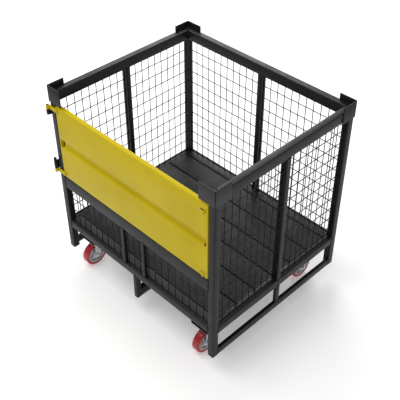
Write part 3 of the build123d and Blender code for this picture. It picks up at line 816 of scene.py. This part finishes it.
# The wheel centre is one casting: rim, web, boss and ten ribs, with a bearing pressed in each side.
RIM = WHEEL - TREAD
BOSS, BORE = 17 * MM, 6.06 * MM
parts = []
rim = ring_x("rim", (-20.5 * MM, 20.5 * MM), AXIS, RIM, RIM - 7 * MM)
pick("EDGE", lambda centre, line: abs(line.x) < 0.5 and abs(centre.x) > 20 * MM)
bpy.ops.mesh.bevel(offset=1.5 * MM, segments=2, affect="EDGES")
parts.append(close_piece(rim, cast_grey))
web = ring_x("web", (-5 * MM, 5 * MM), AXIS, RIM - 6 * MM, BOSS - 2 * MM)
parts.append(close_piece(web, cast_grey))
boss = ring_x("boss", (-23.5 * MM, 23.5 * MM), AXIS, BOSS, BORE, sides=48)
pick("EDGE", lambda centre, line: abs(line.x) < 0.5 and axle_distance(centre) > BOSS - 2 * MM)
bpy.ops.mesh.bevel(offset=2 * MM, segments=3, affect="EDGES")
pick("FACE", lambda centre, out: abs(out.x) > 0.95 and abs(centre.x) > 22 * MM)
bpy.ops.mesh.inset(thickness=3 * MM, depth=0.0)
bpy.ops.mesh.inset(thickness=0.8 * MM, depth=-1.5 * MM)
parts.append(close_piece(boss, cast_grey))
RIBS = 5
for side in (-1, 1):
    for i in range(RIBS):
        rib = start_block("rib", (min(side * 4, side * 15) * MM, AXIS[0] - 3 * MM, AXIS[1] + 15 * MM),
                          (max(side * 4, side * 15) * MM, AXIS[0] + 3 * MM, AXIS[1] + RIM - 6 * MM))
        pick("EDGE", lambda centre, line: abs(line.z) > 0.9 and abs(centre.x) > 10 * MM)
        bpy.ops.mesh.bevel(offset=1.5 * MM, segments=2, affect="EDGES")
        bpy.ops.mesh.select_all(action="SELECT")
        bpy.ops.transform.rotate(value=2 * math.pi * (i + 0.5) / RIBS, orient_axis="X",
                                 center_override=(0, AXIS[0], AXIS[1]))
        parts.append(close_piece(rib, cast_grey))
hub = gather("hub", parts)

# The fork is two 4 mm legs welded to a thick round crown; each leg tapers down to a disc round the axle.
LEG_IN, LEG_OUT = 25.5 * MM, 29.5 * MM
CROWN_LOW, CROWN_TOP = 160 * MM, 167.7 * MM
crown = rod("crown", (0, 0, CROWN_LOW), (0, 0, CROWN_TOP), 35 * MM, sides=64)
shelf = start_block("shelf", (-LEG_OUT, -42 * MM, CROWN_LOW), (LEG_OUT, 22 * MM, CROWN_TOP))
pick("EDGE", lambda centre, line: abs(line.z) > 0.9)
bpy.ops.mesh.bevel(offset=3 * MM, segments=2, affect="EDGES")
bpy.ops.object.mode_set(mode="OBJECT")
cut(crown, shelf, "UNION")
for x in ((-LEG_OUT, -LEG_IN), (LEG_IN, LEG_OUT)):
    leg = start_block("leg", (x[0], -42 * MM, WHEEL), (x[1], 22 * MM, CROWN_TOP - MM))
    pick("FACE", lambda centre, out: out.z < -0.9)
    bpy.ops.transform.resize(value=(1, 38 / 64, 1), center_override=(0, -10 * MM, WHEEL))
    bpy.ops.transform.translate(value=(0, -TRAIL + 10 * MM, 0))
    bpy.ops.object.mode_set(mode="OBJECT")
    disc = rod("disc", (x[0], -TRAIL, WHEEL), (x[1], -TRAIL, WHEEL), 19 * MM, sides=64)
    cut(leg, disc, "UNION")
    cut(crown, leg, "UNION")
cut(crown, rod("bore", (0, 0, CROWN_LOW - 0.01), (0, 0, CROWN_TOP + 0.01), 6.08 * MM))
cut(crown, rod("bore", (-0.05, -TRAIL, WHEEL), (0.05, -TRAIL, WHEEL), 6 * MM))
edges = crown.modifiers.new("edges", "BEVEL")
edges.width, edges.segments, edges.angle_limit = 0.8 * MM, 2, math.radians(50)
bpy.ops.object.modifier_apply(modifier="edges")
fork = close_piece(crown, zinc)
fork.name = "fork"

tail = LEG_OUT + 11 * MM
shank = rod("shank", (-LEG_OUT, -TRAIL, WHEEL), (tail, -TRAIL, WHEEL), 5.95 * MM, chamfer=0.8 * MM)
shank = close_piece(shank, zinc)
head = hexagon("head", (-LEG_OUT, -TRAIL, WHEEL), (-LEG_OUT - 7 * MM, -TRAIL, WHEEL), 19 * MM)
nut = hexagon("nut", (LEG_OUT, -TRAIL, WHEEL), (LEG_OUT + 8 * MM, -TRAIL, WHEEL), 19 * MM)
axle = gather("axle", [shank, head, nut])

PLATE_LOW, PLATE_TOP, RACE_LOW = 184 * MM, 190 * MM, 168 * MM
plate = start_block("plate", (-55 * MM, -67.5 * MM, PLATE_LOW), (55 * MM, 67.5 * MM, PLATE_TOP))
pick("EDGE", lambda centre, line: abs(line.z) > 0.9)
bpy.ops.mesh.bevel(offset=10 * MM, segments=5, affect="EDGES")
pick("EDGE", lambda centre, line: abs(line.z) < 0.5)
bpy.ops.mesh.bevel(offset=0.7 * MM, segments=2, affect="EDGES")
close_piece(plate, zinc)
race = rod("race", (0, 0, RACE_LOW), (0, 0, PLATE_LOW + MM), 33 * MM, sides=64)
bpy.ops.object.mode_set(mode="EDIT")
bpy.ops.mesh.select_all(action="SELECT")
for z in (RACE_LOW + 5.5 * MM, RACE_LOW + 7.5 * MM, RACE_LOW + 9.5 * MM):
    bpy.ops.mesh.select_all(action="SELECT")
    bpy.ops.mesh.bisect(plane_co=(0, 0, z), plane_no=(0, 0, 1))
pick("EDGE", lambda centre, line: abs(line.z) < 0.5 and abs(centre.z - RACE_LOW - 7.5 * MM) < 0.5 * MM)
bpy.ops.transform.resize(value=(0.93, 0.93, 1), center_override=(0, 0, RACE_LOW + 7.5 * MM))
pick("EDGE", lambda centre, line: abs(line.z) < 0.5 and centre.z < RACE_LOW + 0.5 * MM)
bpy.ops.mesh.bevel(offset=3 * MM, segments=4, affect="EDGES")
close_piece(race, zinc)
plate = gather("plate", [plate, race])
king_shank = rod("king", (0, 0, CROWN_LOW - 2 * MM), (0, 0, PLATE_TOP), 5.95 * MM)
king_shank = close_piece(king_shank, zinc)
king_head = hexagon("king_head", (0, 0, CROWN_LOW - 0.3 * MM), (0, 0, CROWN_LOW - 8 * MM), 20 * MM)
king = gather("king", [king_shank, king_head])
parts = []
for x in (-40 * MM, 40 * MM):
    for y in (-52.5 * MM, 52.5 * MM):
        parts.append(hexagon("head", (x, y, PLATE_LOW), (x, y, PLATE_LOW - 7 * MM), 16 * MM))
        parts.append(close_piece(rod("shank", (x, y, PLATE_LOW), (x, y, PLATE_TOP + 15 * MM), 5 * MM,
                                     chamfer=0.8 * MM), zinc))
        parts.append(hexagon("nut", (x, y, PLATE_TOP + 4 * MM), (x, y, PLATE_TOP + 12 * MM), 16 * MM))
bolts = gather("bolts", parts)

castor_x = (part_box("castor_plate_front_right")[0].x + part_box("castor_plate_front_right")[1].x) / 2
castor_y = (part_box("castor_plate_rear_right")[0].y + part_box("castor_plate_rear_right")[1].y) / 2


def copy_to(model, name, x, y):
    """A copy of a castor piece with its own mesh, moved from the origin to its castor."""
    bpy.ops.object.select_all(action="DESELECT")
    model.select_set(True)
    bpy.context.view_layer.objects.active = model
    bpy.ops.object.duplicate()
    made = bpy.context.object
    made.name = made.data.name = name
    made.location = (x, y, 0)
    bpy.ops.object.transform_apply(location=True, rotation=True, scale=True)
    return made


kings, all_bolts = [], []
for where, (sx, sy) in PIVOT.items():
    x, y = sx * castor_x, sy * castor_y
    for model, node, body, slot in (
            (plate, "castor_plate", "frame", "zinc"), (fork, "castor_fork", "swivel_" + where, "zinc"),
            (axle, "castor_axle", "swivel_" + where, "zinc"),
            (hub, "castor_hub", "wheel_" + where, "wheel_centre"),
            (tyre, "castor_tyre", "wheel_" + where, "wheel_tread")):
        piece = copy_to(model, f"built_{node}_{where}", x, y)
        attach(piece, body)
        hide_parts(f"{node}_{where}")
    kings.append(copy_to(king, "king_bolt", x, y))
    all_bolts.append(copy_to(bolts, "castor_bolt", x, y))
for model in (plate, fork, axle, hub, tyre, king, bolts):
    bpy.data.objects.remove(model)
for name, group, node in (("hexagon_king_bolts", kings, "king_bolts"),
                          ("hexagon_castor_bolts", all_bolts, "castor_bolts")):
    piece = gather(name, group)
    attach(piece, "frame")
    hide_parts(node)


# ---- floor, light and camera ----
# The cage stands on a white floor that glows faintly, as in a light box, in even studio light: a white
# surround, a large soft light above the gate and another behind on the left.
floor_white = new_material("studio_floor_white")
place = add_node(floor_white, "ShaderNodeTexCoord").outputs["Object"]
mottle = add_node(floor_white, "ShaderNodeTexNoise", {"Vector": place, "Scale": 3.0, "Detail": 4.0})
shade = add_node(floor_white, "ShaderNodeMix", {
    0: mottle.outputs["Fac"], 6: linear("#f6f6f6"), 7: linear("#fbfbfb")}, data_type="RGBA")
matt = add_node(floor_white, "ShaderNodeBsdfPrincipled", {
    "Base Color": shade.outputs[2], "Roughness": 0.9, "Emission Color": shade.outputs[2],
    "Emission Strength": 0.3})
add_node(floor_white, "ShaderNodeOutputMaterial", {"Surface": matt.outputs[0]})
bpy.ops.object.select_all(action="DESELECT")
bpy.ops.mesh.primitive_plane_add(size=60, location=(0, 0, 0))
floor = bpy.context.object
floor.name = "studio_floor"
floor.data.materials.append(floor_white)

world = bpy.data.worlds.new("white_surround")
bpy.context.scene.world = world
world.use_nodes = True
world.node_tree.nodes["Background"].inputs["Color"].default_value = (1, 1, 1, 1)
world.node_tree.nodes["Background"].inputs["Strength"].default_value = 0.42
for name, location, size, power in (("overhead_light", (-0.8, -1.4, 4.8), 3.4, 115),
                                    ("rear_light", (-3.2, 3.2, 3.6), 3.0, 140)):
    bpy.ops.object.light_add(type="AREA", location=location)
    light = bpy.context.object
    light.name = name
    light.data.energy, light.data.size = power, size
    light.rotation_mode = "QUATERNION"
    light.rotation_quaternion = (Vector((0, 0, 0.6)) - Vector(location)).to_track_quat("-Z", "Y")

AZIMUTH, ELEVATION = math.radians(45.23), math.radians(38.81)
bpy.ops.object.camera_add(location=(2.312, -2.291, 3.273), rotation=(math.pi / 2 - ELEVATION, 0, AZIMUTH))
camera = bpy.context.object
camera.name = "camera"
camera.data.lens = 68.36
camera.data.sensor_width = 36
camera.data.shift_y = -0.05
bpy.context.scene.camera = camera
bpy.context.scene.view_settings.view_transform = "Standard"
